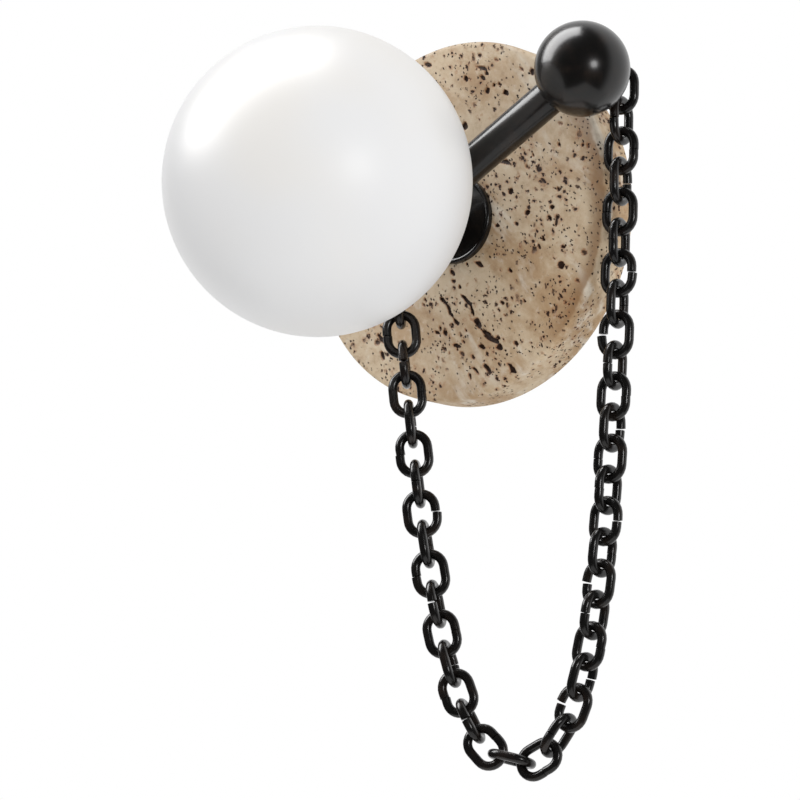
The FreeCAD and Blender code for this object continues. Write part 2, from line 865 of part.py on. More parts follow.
def main():
    fill_sheet()
    make_crossbar()
    make_threaded_tube()
    hex_nut("crossbar_nut", "bar_thickness")
    make_stone()
    make_hub()
    make_stem()
    make_rod()
    make_ball()
    make_ball_stud()

    ball_ring = ball_eye_seat() + ball_eye_direction() * value("eye_reach")
    make_eye("ball_eye", ball_ring, ball_eye_direction() * -1, ball_eye_normal())
    rod_ring = rod_eye_seat() + rod_eye_direction() * value("eye_reach")
    make_eye("rod_eye", rod_ring, rod_eye_direction() * -1, rod_eye_normal())
    make_chain(Swag(ball_ring, ball_eye_normal(), rod_ring, rod_eye_normal()))

    make_fitter_plate()
    hex_nut("fitter_nut", "fitter_front")
    make_globe_clips()
    make_lamp_holder()
    make_bulb()
    make_globe()
    write_parts()


main()
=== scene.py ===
"""Looks of a wall light: an opal globe on a stone disc, with a slanted rod, a ball and a swag of chain.

Metres, +Z up; the wall is the plane Y = 0 and the light stands out along -Y. Every piece is built
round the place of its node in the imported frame.
"""

import json
import logging
import math
from dataclasses import dataclass, field
from enum import Enum
from functools import reduce
from typing import Callable, ClassVar, Sequence

import bmesh
import bpy
import numpy as np
from mathutils import Matrix, Vector

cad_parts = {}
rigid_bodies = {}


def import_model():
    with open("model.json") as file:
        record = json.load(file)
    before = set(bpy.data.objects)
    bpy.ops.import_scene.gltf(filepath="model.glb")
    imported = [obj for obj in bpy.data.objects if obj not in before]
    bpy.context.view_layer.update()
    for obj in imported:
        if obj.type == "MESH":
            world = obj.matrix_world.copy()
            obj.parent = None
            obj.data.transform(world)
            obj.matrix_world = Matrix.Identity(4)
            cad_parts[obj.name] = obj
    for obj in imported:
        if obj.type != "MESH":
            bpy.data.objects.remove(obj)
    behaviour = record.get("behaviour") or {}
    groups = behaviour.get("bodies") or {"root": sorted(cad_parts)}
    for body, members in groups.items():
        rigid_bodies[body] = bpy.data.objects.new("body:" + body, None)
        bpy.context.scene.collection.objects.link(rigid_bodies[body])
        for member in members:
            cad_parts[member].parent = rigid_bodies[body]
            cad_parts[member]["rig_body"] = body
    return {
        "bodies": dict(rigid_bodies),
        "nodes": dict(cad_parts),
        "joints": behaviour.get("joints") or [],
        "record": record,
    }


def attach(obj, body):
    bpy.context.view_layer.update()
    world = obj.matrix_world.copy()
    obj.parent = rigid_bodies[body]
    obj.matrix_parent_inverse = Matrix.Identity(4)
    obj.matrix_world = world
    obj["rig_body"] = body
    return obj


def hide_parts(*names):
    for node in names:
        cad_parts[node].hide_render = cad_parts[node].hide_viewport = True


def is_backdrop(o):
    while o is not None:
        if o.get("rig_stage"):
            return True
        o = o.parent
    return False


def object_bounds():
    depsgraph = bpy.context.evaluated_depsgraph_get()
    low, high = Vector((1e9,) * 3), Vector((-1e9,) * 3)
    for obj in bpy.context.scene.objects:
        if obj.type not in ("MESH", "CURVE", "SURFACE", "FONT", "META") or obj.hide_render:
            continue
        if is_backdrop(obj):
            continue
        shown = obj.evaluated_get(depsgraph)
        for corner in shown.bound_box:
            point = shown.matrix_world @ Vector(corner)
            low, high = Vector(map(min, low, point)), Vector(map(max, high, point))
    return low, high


log = logging.getLogger("sconce")
Point = tuple[float, float]
Triple = tuple[float, float, float]
Colour = Triple
MM = 0.001
HOLLOW = "hollow"
SAME_POINT = 1e-7
# the three sections added at an open wire end: how far out and how wide, in parts of the radius
END_DOME = (0.10, 0.08, 0.04)
END_WIDTH = (0.0, 0.55, 0.88)


# shader expressions ---------------------------------------------------------------------------


def operator(operation: str, swapped: bool = False) -> Callable[["Value", "Value | float"], "Value"]:
    """A method that works out one operation on a value and another term.

    Args:
        operation: the operation of the arithmetic node.
        swapped: whether the other term comes first, as in a reflected form.

    Returns:
        The method.
    """

    def method(self: "Value", other: "Value | float") -> "Value":
        """The operation's result, as an expression."""
        return self.graph.math(operation, *((other, self) if swapped else (self, other)))

    return method


class Value:
    """A shader socket that takes part in arithmetic, one node for each operation."""

    def __init__(self, graph: "Graph", socket: bpy.types.NodeSocket) -> None:
        """Keep the socket and the graph that it is in."""
        self.graph = graph
        self.socket = socket

    __add__ = __radd__ = operator("ADD")
    __mul__ = __rmul__ = operator("MULTIPLY")
    __sub__ = operator("SUBTRACT")
    __rsub__ = operator("SUBTRACT", swapped=True)
    __pow__ = operator("POWER")
    __rpow__ = operator("POWER", swapped=True)
    most = operator("MAXIMUM")

    def step(self, low: float, high: float) -> "Value":
        """A smooth change from 0 to 1 as this value goes from low to high.

        Args:
            low: where the step is 0.
            high: where it is 1, above low or below it.

        Returns:
            The step as an expression.
        """
        if high < low:
            return 1.0 - self.step(high, low)
        sockets = {"Value": self, "From Min": low, "From Max": high}
        return self.graph.node("MapRange", sockets, interpolation_type="SMOOTHSTEP")


Source = Value | float | Sequence[float]


class Graph:
    """The node tree of one material or world, built by expressions.

    Args:
        owner: the material or world.
    """

    place: Value

    def __init__(self, owner: bpy.types.Material | bpy.types.World) -> None:
        """Take the owner's node tree and empty it."""
        owner.use_nodes = True
        self.owner = owner
        self.tree = owner.node_tree
        self.tree.nodes.clear()

    @classmethod
    def of_material(cls, name: str) -> "Graph":
        """A new material's graph, with object coordinates as its place.

        Args:
            name: the material's name.

        Returns:
            The graph, with no surface yet.
        """
        graph = cls(bpy.data.materials.new(name))
        graph.place = graph.node("TexCoord", output="Object")
        return graph

    def node(self, kind: str, inputs: dict | None = None, output: str | int = 0, **settings: str) -> Value:
        """Add one node.

        Args:
            kind: the node's type name without its ShaderNode prefix.
            inputs: socket name or number to a value, colour or other expression.
            output: the name or number of the output to return.
            settings: the node's own properties.

        Returns:
            The chosen output as an expression.
        """
        made = self.tree.nodes.new("ShaderNode" + kind)
        for name, setting in settings.items():
            setattr(made, name, setting)
        for name, source in (inputs or {}).items():
            self.feed(made.inputs[name], source)
        return Value(self, made.outputs[output])

    def feed(self, socket: bpy.types.NodeSocket, source: Source) -> None:
        """Link an expression to a socket, or set the socket to a plain value.

        Args:
            socket: the input to fill.
            source: an expression, a number, or the parts of a colour or vector.
        """
        if isinstance(source, Value):
            self.tree.links.new(source.socket, socket)
            return
        if hasattr(socket.default_value, "__len__") and not hasattr(source, "__len__"):
            source = (source,) * len(socket.default_value)
        if hasattr(source, "__len__") and len(socket.default_value) == 4 and len(source) == 3:
            source = (*source, 1.0)
        socket.default_value = source

    def math(self, operation: str, *terms: Value | float) -> Value:
        """One node of arithmetic."""
        return self.node("Math", dict(enumerate(terms)), operation=operation)

    def noise(
        self, place: Value, scale: float, detail: float = 3.0, rough: float = 0.5, warp: float = 0.0
    ) -> Value:
        """Cloudy noise from 0 to 1."""
        sockets = {"Vector": place, "Scale": scale, "Detail": detail, "Roughness": rough, "Distortion": warp}
        return self.node("TexNoise", sockets)

    def cells(self, place: Value, scale: float) -> Value:
        """Distance from the nearest of a scatter of points."""
        return self.node("TexVoronoi", {"Vector": place, "Scale": scale}, output="Distance")

    def moved(self, place: Value, noise_scale: float, amount: float) -> Value:
        """A place pushed about by coloured noise.

        Args:
            place: the place to push.
            noise_scale: clouds of noise in a metre.
            amount: the length of the push where the noise is at its fullest.

        Returns:
            The pushed place.
        """
        shift = self.node("TexNoise", {"Vector": place, "Scale": noise_scale, "Detail": 3.0}, output="Color")
        centred = self.node("VectorMath", {0: shift, 1: (0.5, 0.5, 0.5)}, operation="SUBTRACT")
        sized = self.node("VectorMath", {0: centred, "Scale": amount}, operation="SCALE")
        return self.node("VectorMath", {0: place, 1: sized}, operation="ADD")

    def mix(self, factor: Value | float, first: Value | Colour, second: Value | Colour) -> Value:
        """A colour between two colours."""
        return self.node("Mix", {0: factor, 6: first, 7: second}, output=2, data_type="RGBA")

    def slanted(self, place: Value, sizes: Triple, degrees: float) -> Value:
        """A place in cells of the given sizes, whose first side slants down to the right."""
        sockets = {"Vector": place, "Rotation": (0.0, math.radians(degrees), 0.0), "Scale": sizes}
        return self.node("Mapping", sockets, vector_type="TEXTURE")

    def bump(self, height: Value, distance: float, strength: float = 1.0, **below: Value) -> Value:
        """A surface direction that follows a height, on the bump below where a Normal is named."""
        sockets = {"Height": height, "Distance": distance, "Strength": strength, **below}
        return self.node("Bump", sockets)

    def principled(self, **sockets: Source) -> bpy.types.Material:
        """Finish the material with one principled surface.

        Args:
            sockets: socket names, with underscores for spaces, to values or expressions.

        Returns:
            The material.
        """
        spaced = {name.replace("_", " "): source for name, source in sockets.items()}
        return self.finish(self.node("BsdfPrincipled", spaced), "OutputMaterial")

    def finish(self, shader: Value, kind: str) -> bpy.types.Material | bpy.types.World:
        """Send a shader to the output.

        Args:
            shader: the surface.
            kind: the output's type name without its ShaderNode prefix.

        Returns:
            The graph's material or world.
        """
        surface = self.tree.nodes.new("ShaderNode" + kind)
        self.tree.links.new(shader.socket, surface.inputs["Surface"])
        return self.owner


# finishes -------------------------------------------------------------------------------------


class Finish(Enum):
    """The looks of the light, by the record's material slot."""

    TRAVERTINE = "travertine"
    BLACK_BRONZE = "black_bronze"
    OPAL_GLASS = "opal_glass"
    ZINC_STEEL = "zinc_steel"
    SPRING_STEEL = "spring_steel"
    PORCELAIN = "porcelain"
    BULB_GLASS = "bulb_glass"
    PIN_METAL = "pin_metal"


@dataclass(frozen=True)
class Travertine:
    """Honed, unfilled travertine: clouded cream and tan, with slanting fissures and pits painted dark brown
    as their shade.

    Lengths are in metres. A row of pits is their spacing, their size in parts of it and the noise
    above which they show. The painted shadow's pairs are where it starts and where it is full.
    """

    cream: Colour = (0.63, 0.50, 0.345)
    tan: Colour = (0.47, 0.315, 0.18)
    white: Colour = (0.75, 0.68, 0.57)
    # the brown of real stains, also used for the painted shadow along the face's right-hand edge
    stain_and_shadow: Colour = (0.27, 0.14, 0.055)
    rust: Colour = (0.38, 0.16, 0.065)
    # painted shade: near-black brown for the pits and the carved hollows
    pit_shade: Colour = (0.035, 0.015, 0.008)
    slant: float = 50.0
    pit_depth: float = 0.0014
    grain_depth: float = 0.0003
    cloud_cell: Triple = (0.060, 0.032, 0.032)
    streak_cell: Triple = (0.060, 0.014, 0.014)
    hole_rows: tuple[Triple, ...] = ((0.0022, 0.27, 0.45), (0.0042, 0.24, 0.46), (0.0085, 0.17, 0.50))
    rim_rows: tuple[Triple, ...] = ((0.0042, 0.40, 0.47), (0.0085, 0.30, 0.48))
    # where the painted shadow of the chain lies: inner and outer radius, right-hand start, front of the face
    shadow_inner: Point = (0.0850, 0.0955)
    shadow_outer: Point = (0.0990, 0.0965)
    shadow_right: Point = (0.050, 0.078)
    shadow_front: Point = (-0.0170, -0.0215)

    def material(self) -> bpy.types.Material:
        """Build the stone's material.

        Returns:
            A material on object coordinates, in metres, with the carved hollows' attribute.
        """
        g = Graph.of_material(Finish.TRAVERTINE.value)
        warped = g.moved(g.place, 22.0, 0.022)
        clouds = g.noise(g.slanted(warped, self.cloud_cell, self.slant), 1.0, 6.0, 0.68, 0.2)
        streaks = g.noise(g.slanted(warped, self.streak_cell, self.slant), 1.0, 4.0, 0.55)
        mottle = g.noise(g.place, 130.0, 6.0, 0.75)
        grain = g.noise(g.place, 1100.0, 2.0, 0.6)
        colour = g.mix(clouds.step(0.40, 0.62), self.cream, self.tan)
        colour = g.mix(streaks.step(0.52, 0.68) * 0.75, colour, self.white)
        colour = g.mix(mottle.step(0.47, 0.74) * 0.45, colour, self.stain_and_shadow)
        colour = g.mix(mottle.step(0.46, 0.30) * 0.45, colour, self.white)
        # painted shadow: the chain's shadow along the face's right-hand edge, in the stain colour
        colour = g.mix(self.painted_edge_shadow(g) * 0.75, colour, self.stain_and_shadow)
        carved = g.node("Attribute", output="Fac", attribute_name=HOLLOW)
        holes = self.pits(g, self.hole_rows)
        rims = self.pits(g, self.rim_rows)
        colour = g.mix((rims * 0.45).most(carved.step(0.02, 0.20) * 0.6), colour, self.rust)
        # painted shade: the pits and the deeper carved hollows are coloured near black
        colour = g.mix(holes.most(carved.step(0.22, 0.62)), colour, self.pit_shade)
        normal = g.bump(1.0 - holes, self.pit_depth, 0.9)
        normal = g.bump(mottle * 0.6 + grain * 0.4, self.grain_depth, 0.6, Normal=normal)
        return g.principled(
            Base_Color=colour,
            Roughness=0.60 + 0.25 * holes + 0.12 * mottle,
            Normal=normal,
            Specular_IOR_Level=0.25,
        )

    def painted_edge_shadow(self, g: Graph) -> Value:
        """Painted shadow of the chain: a brown band just inside the face's right-hand edge.

        Args:
            g: the stone's graph.

        Returns:
            The painted shadow, 1 where it is full.
        """
        place = g.moved(g.place, 90.0, 0.006)
        across, out, up = (g.node("SeparateXYZ", {0: place}, output=name) for name in "XYZ")
        from_middle = (across * across + up * up) ** 0.5
        inside = from_middle.step(*self.shadow_inner) * from_middle.step(*self.shadow_outer)
        return inside * across.step(*self.shadow_right) * out.step(*self.shadow_front)

    def pits(self, g: Graph, rows: Sequence[Triple]) -> Value:
        """Ragged holes of several sizes, where a patchy noise lets them be.

        Args:
            g: the stone's graph.
            rows: spacing, size and share of each kind of hole.

        Returns:
            The holes, 1 inside them.
        """
        found: list[Value] = []
        for spacing, size, share in rows:
            place = g.moved(g.place, 1.6 / spacing, 0.9 * spacing)
            distance = g.cells(g.slanted(place, (1.5 * spacing, spacing, spacing), self.slant), 1.0)
            patches = g.noise(g.place, 0.16 / spacing, 2.0, 0.6)
            found.append(distance.step(size, size * 0.6) * patches.step(share, share + 0.06))
        return reduce(Value.most, found)


@dataclass(frozen=True)
class BlackBronze:
    """Satin blackened bronze, with faint brown rubs and a fine grain."""

    black: Colour = (0.0045, 0.0040, 0.0038)
    brown: Colour = (0.016, 0.010, 0.007)
    roughness: float = 0.25

    def material(self) -> bpy.types.Material:
        """Build the metal's material.

        Returns:
            The material, on object coordinates.
        """
        g = Graph.of_material(Finish.BLACK_BRONZE.value)
        rub = g.noise(g.place, 70.0, 4.0, 0.6)
        grain = g.noise(g.place, 1400.0, 2.0, 0.5)
        colour = g.mix(rub.step(0.45, 0.75), self.black, self.brown)
        return g.principled(
            Base_Color=colour,
            Roughness=self.roughness + 0.10 * (rub - 0.5) + 0.05 * (grain - 0.5),
            Specular_IOR_Level=0.38,
            Coat_Weight=0.20,
            Coat_Roughness=0.12,
            Normal=g.bump(grain * 0.7 + rub * 0.3, 0.00004, 0.3),
        )


@dataclass(frozen=True)
class OpalGlass:
    """Satin white glass: soft and even, a little translucent."""

    white: Colour = (0.87, 0.87, 0.875)
    warm: Colour = (0.88, 0.86, 0.83)
    roughness: float = 0.40

    def material(self) -> bpy.types.Material:
        """Build the globe's material.

        Returns:
            The material, on object coordinates.
        """
        g = Graph.of_material(Finish.OPAL_GLASS.value)
        cloud = g.noise(g.place, 9.0, 2.0, 0.5)
        frost = g.noise(g.place, 2200.0, 2.0, 0.5)
        colour = g.mix(cloud.step(0.35, 0.7), self.white, self.warm)
        return g.principled(
            Base_Color=colour,
            Roughness=self.roughness + 0.05 * (frost - 0.5),
            Transmission_Weight=0.10,
            Specular_IOR_Level=0.5,
            Normal=g.bump(frost, 0.00002, 0.25),
        )


@dataclass(frozen=True)
class Metal:
    """A bare metal with fine brushed lines and a cloudy dulling."""

    slot: Finish
    colour: Colour = (0.55, 0.55, 0.54)
    roughness: float = 0.36

    def material(self) -> bpy.types.Material:
        """Build the metal's material.

        Returns:
            The material, on object coordinates.
        """
        g = Graph.of_material(self.slot.value)
        brushed = g.node("Mapping", {"Vector": g.place, "Scale": (600.0, 3000.0, 600.0)})
        lines = g.noise(brushed, 1.0, 3.0, 0.6)
        cloud = g.noise(g.place, 120.0, 3.0, 0.6)
        dull = tuple(part * 0.7 for part in self.colour)
        return g.principled(
            Base_Color=g.mix(cloud.step(0.4, 0.8), self.colour, dull),
            Roughness=self.roughness + 0.15 * (lines - 0.5) + 0.12 * (cloud - 0.5),
            Metallic=1.0,
            Normal=g.bump(lines, 0.00003, 0.4),
        )


@dataclass(frozen=True)
class Porcelain:
    """Glazed white ceramic with faint specks."""

    white: Colour = (0.80, 0.78, 0.73)
    speck: Colour = (0.55, 0.50, 0.42)

    def material(self) -> bpy.types.Material:
        """Build the ceramic's material.

        Returns:
            The material, on object coordinates.
        """
        g = Graph.of_material(Finish.PORCELAIN.value)
        specks = g.cells(g.place, 900.0).step(0.16, 0.08)
        wave = g.noise(g.place, 150.0, 2.0, 0.5)
        return g.principled(
            Base_Color=g.mix(specks * 0.4, self.white, self.speck),
            Roughness=0.22 + 0.08 * wave,
            Coat_Weight=0.4,
            Coat_Roughness=0.08,
            Normal=g.bump(wave, 0.0001, 0.3),
        )


@dataclass(frozen=True)
class BulbGlass:
    """Frosted clear glass of the bulb."""

    tint: Colour = (0.92, 0.92, 0.90)
    frosted: Colour = (0.85, 0.84, 0.80)

    def material(self) -> bpy.types.Material:
        """Build the bulb's material.

        Returns:
            The material, on object coordinates.
        """
        g = Graph.of_material(Finish.BULB_GLASS.value)
        frost = g.noise(g.place, 1800.0, 2.0, 0.6)
        return g.principled(
            Base_Color=g.mix(frost.step(0.3, 0.7), self.tint, self.frosted),
            Roughness=0.35 + 0.15 * (frost - 0.5),
            Transmission_Weight=0.6,
            Normal=g.bump(frost, 0.00003, 0.4),
        )


class Paintbox:
    """Every finish of the light, made once."""

    def __init__(self) -> None:
        """Make the material of each finish."""
        self.made = {
            Finish.TRAVERTINE: Travertine().material(),
            Finish.BLACK_BRONZE: BlackBronze().material(),
            Finish.OPAL_GLASS: OpalGlass().material(),
            Finish.ZINC_STEEL: Metal(Finish.ZINC_STEEL).material(),
            Finish.SPRING_STEEL: Metal(Finish.SPRING_STEEL, (0.62, 0.62, 0.63), 0.25).material(),
            Finish.PIN_METAL: Metal(Finish.PIN_METAL, (0.60, 0.57, 0.52), 0.3).material(),
            Finish.PORCELAIN: Porcelain().material(),
            Finish.BULB_GLASS: BulbGlass().material(),
        }

    def paint(self, piece: bpy.types.Object, finish: Finish) -> None:
        """Give a piece its finish and its material slot's name.

        Args:
            piece: the object to paint.
            finish: its look.
        """
        piece.data.materials.clear()
        piece.data.materials.append(self.made[finish])


# surfaces -------------------------------------------------------------------------------------


@dataclass
class Patch:
    """A grid of points, closed along neither, either or both of its directions."""

    points: np.ndarray
    closed_rows: bool = False
    closed_columns: bool = False

    def faces(self, start: int) -> np.ndarray:
        """Corner numbers of the grid's four-sided faces.

        Args:
            start: the number of the grid's first point.

        Returns:
            One row of four corners for each face.
        """
        rows, columns = self.points.shape[:2]
        row = np.arange(rows if self.closed_rows else rows - 1)
        column = np.arange(columns if self.closed_columns else columns - 1)
        r, c = np.meshgrid(row, column, indexing="ij")
        r2, c2 = (r + 1) % rows, (c + 1) % columns
        quads = np.stack([r * columns + c, r * columns + c2, r2 * columns + c2, r2 * columns + c], axis=-1)
        return quads.reshape(-1, 4) + start


def mesh_piece(name: str, patches: Sequence[Patch], smooth_degrees: float = 35.0) -> bpy.types.Object:
    """Make one object of grids of points.

    Args:
        name: the object's name.
        patches: the grids, in metres, in the row frame.
        smooth_degrees: edges sharper than this stay crisp.

    Returns:
        The object, its faces pointing outwards.
    """
    points, faces, start = [], [], 0
    for patch in patches:
        flat = patch.points.reshape(-1, 3)
        points.append(flat)
        faces.append(patch.faces(start))
        start += len(flat)
    mesh = bpy.data.meshes.new(name)
    mesh.from_pydata(np.concatenate(points).tolist(), [], np.concatenate(faces).tolist())
    piece = bpy.data.objects.new(name, mesh)
    bpy.context.scene.collection.objects.link(piece)
    tidy_mesh(piece, smooth_degrees)
    return piece


def tidy_mesh(piece: bpy.types.Object, smooth_degrees: float) -> None:
    """Merge doubled points, turn every face outwards and shade by angle.

    Args:
        piece: the object to tidy.
        smooth_degrees: edges sharper than this stay crisp.
    """
    shape = bmesh.new()
    shape.from_mesh(piece.data)
    bmesh.ops.remove_doubles(shape, verts=shape.verts, dist=SAME_POINT)
    bmesh.ops.dissolve_degenerate(shape, edges=shape.edges, dist=SAME_POINT)
    bmesh.ops.recalc_face_normals(shape, faces=shape.faces)
    limit = math.radians(smooth_degrees)
    for face in shape.faces:
        face.smooth = True
    for edge in shape.edges:
        edge.smooth = len(edge.link_faces) != 2 or edge.calc_face_angle(0.0) < limit
    shape.to_mesh(piece.data)
    shape.free()
    piece.data.update()


@dataclass(frozen=True)
class Axes:
    """A place with three directions square to each other: across, up and along."""

    origin: np.ndarray
    across: np.ndarray
    up: np.ndarray
    along: np.ndarray

    @classmethod
    def facing(cls, origin: Sequence[float], along: Sequence[float]) -> "Axes":
        """Axes whose third direction is along, the others chosen square to it.

        Args:
            origin: the place.
            along: the third direction, of any length.

        Returns:
            The axes.
        """
        ahead = unit(np.asarray(along, float))
        helper = np.array([0.0, 0.0, 1.0]) if abs(ahead[2]) < 0.9 else np.array([1.0, 0.0, 0.0])
        across = unit(np.cross(helper, ahead))
        return cls(np.asarray(origin, float), across, np.cross(ahead, across), ahead)

    def put(self, across: np.ndarray, up: np.ndarray, along: np.ndarray) -> np.ndarray:
        """Points from coordinates along the three directions.

        Args:
            across: distances across.
            up: distances up.
            along: distances along.

        Returns:
            The points, their three coordinates last.
        """
        across, up, along = np.broadcast_arrays(across, up, along)
        return (
            self.origin
            + across[..., None] * self.across
            + up[..., None] * self.up
            + along[..., None] * self.along
        )


def unit(vector: np.ndarray) -> np.ndarray:
    """The vector's direction, at length one."""
    return vector / np.linalg.norm(vector)


def arc(centre: Point, radius: float, first: float, last: float, steps: int) -> list[Point]:
    """Points on an arc in the profile's plane, between two angles in degrees."""
    turns = np.radians(np.linspace(first, last, steps + 1))
    return [(centre[0] + radius * math.cos(turn), centre[1] + radius * math.sin(turn)) for turn in turns]


def lathe(profile: Sequence[Point], axes: Axes, sides: int = 96) -> Patch:
    """A profile turned round an axis: radius cos a across, radius sin a up, for each angle a.

    Args:
        profile: pairs of a radius and a distance along the axis.
        axes: the axis and the directions square to it.
        sides: steps in one turn.

    Returns:
        The turned surface.
    """
    radius, along = np.array(profile).T[:, :, None]
    turn = np.linspace(0, 2 * math.pi, sides, endpoint=False)
    points = axes.put(radius * np.cos(turn), radius * np.sin(turn), along)
    return Patch(points, closed_columns=True)


def swept_wire(path: np.ndarray, normal: np.ndarray, radius: float, sides: int, closed: bool) -> Patch:
    """Round wire along a path that lies in a plane, with slightly domed ends where it is open.

    Each section's points are path + radius (cos a * outward + sin a * normal), where outward is
    square to the path in its plane.

    Args:
        path: the middle of the wire, one row for each section.
        normal: the direction square to the path's plane.
        radius: the wire's radius.
        sides: points round a section.
        closed: whether the wire joins itself.

    Returns:
        The wire's surface.
    """
    ahead = np.roll(path, -1, 0) - np.roll(path, 1, 0) if closed else np.gradient(path, axis=0)
    ahead /= np.linalg.norm(ahead, axis=1, keepdims=True)
    scale = np.ones(len(path))
    if not closed:
        dome = np.array(END_DOME) * radius
        shrink = np.array(END_WIDTH)
        first = path[0] - ahead[0] * dome[:, None]
        last = path[-1] + ahead[-1] * dome[::-1, None]
        path = np.concatenate([first, path, last])
        scale = np.concatenate([shrink, scale, shrink[::-1]])
        ahead = np.concatenate([ahead[:1].repeat(3, 0), ahead, ahead[-1:].repeat(3, 0)])
    outward = np.cross(ahead, normal)
    turn = np.linspace(0, 2 * math.pi, sides, endpoint=False)[:, None]
    around = outward[:, None, :] * np.cos(turn) + normal * np.sin(turn)
    return Patch(path[:, None, :] + radius * scale[:, None, None] * around, closed, True)


# the light ------------------------------------------------------------------------------------


class Frame:
    """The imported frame, with the places of its nodes in metres."""

    def __init__(self) -> None:
        """Load the frame into the scene."""
        self.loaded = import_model()

    def low_high(self, node: str) -> tuple[np.ndarray, np.ndarray]:
        """A node's lowest and highest corners."""
        corners = np.array([vertex.co[:] for vertex in self.loaded["nodes"][node].data.vertices])
        return corners.min(0), corners.max(0)

    def middle(self, node: str) -> np.ndarray:
        """The middle of a node's box."""
        low, high = self.low_high(node)
        return (low + high) / 2

    def names(self, start: str) -> list[str]:
        """Nodes whose names start this way, in order."""
        return sorted(name for name in self.loaded["nodes"] if name.startswith(start))

    def body_of(self, node: str) -> str:
        """The body that a node rides on."""
        return self.loaded["nodes"][node]["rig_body"]

    def solids(self, node: str) -> list[np.ndarray]:
        """The corners of each separate solid of a node.

        Args:
            node: the node's name.

        Returns:
            One array of points for each set of faces that share corners.
        """
        mesh = self.loaded["nodes"][node].data
        points = np.array([vertex.co[:] for vertex in mesh.vertices])
        keys, same = np.unique(np.round(points, 6), axis=0, return_inverse=True)
        same = same.reshape(-1)
        group = np.arange(len(keys))
        corners = [same[list(face.vertices)] for face in mesh.polygons]
        changed = True
        while changed:
            changed = False
            for face in corners:
                least = group[face].min()
                if (group[face] != least).any():
                    group[face] = least
                    changed = True
        return [keys[group == label] for label in sorted(set(group))]


@dataclass
class Piecework:
    """What every sub-assembly needs: the frame, the finishes and a way to hand a piece in."""

    frame: Frame
    paints: Paintbox
    pieces: list[str] = field(default_factory=list, init=False)

    def build(self) -> None:
        """Make the sub-assembly's pieces."""
        raise NotImplementedError

    def hand_in(self, piece: bpy.types.Object, finish: Finish, *nodes: str) -> None:
        """Paint a piece, let it stand for its nodes and ride on their body.

        Args:
            piece: the object that was made.
            finish: its look.
            nodes: the frame's nodes that it takes the place of.
        """
        self.paints.paint(piece, finish)
        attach(piece, self.frame.body_of(nodes[0]))
        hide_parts(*nodes)
        self.pieces.append(piece.name)

    def keep_node(self, node: str, finish: Finish) -> None:
        """Show a frame node as it is, with a finish."""
        self.paints.paint(self.frame.loaded["nodes"][node], finish)
        self.pieces.append(node)

    def out_axes(self, node: str) -> Axes:
        """Axes on a turned node's own centre line, at the wall, pointing out from it."""
        middle = self.frame.middle(node)
        return Axes.facing((middle[0], 0.0, middle[2]), (0.0, -1.0, 0.0))

    def reach(self, node: str) -> Triple:
        """A turned node's radius and its least and greatest standoff from the wall."""
        low, high = self.frame.low_high(node)
        return (high[0] - low[0]) / 2, -high[1], -low[1]


@dataclass(frozen=True)
class Hollow:
    """One long pit in the stone's face: its middle, half sizes and depth in millimetres."""

    x: float
    z: float
    half_long: float
    half_wide: float
    deep: float
    slant: float
    reach: ClassVar[float] = 1.25
    steepness: ClassVar[float] = 1.8

    def depth(self, x: np.ndarray, z: np.ndarray, ragged: np.ndarray) -> np.ndarray:
        """How deep the face is hollowed: deep times the smooth step 3 s s - 2 s s s.

        Here s is steepness * (reach - distance - ragged), held between 0 and 1, and distance is 1
        on the ellipse of the half sizes.

        Args:
            x: the points' places to the right, in millimetres.
            z: their heights.
            ragged: how far the outline is drawn in at each point.

        Returns:
            The depth at each point, in millimetres.
        """
        turn = math.radians(self.slant)
        along = (x - self.x) * math.cos(turn) - (z - self.z) * math.sin(turn)
        aside = (x - self.x) * math.sin(turn) + (z - self.z) * math.cos(turn)
        inside = self.reach - np.hypot(along / self.half_long, aside / self.half_wide) - ragged
        inside = np.clip(inside * self.steepness, 0, 1)
        return self.deep * inside * inside * (3 - 2 * inside)


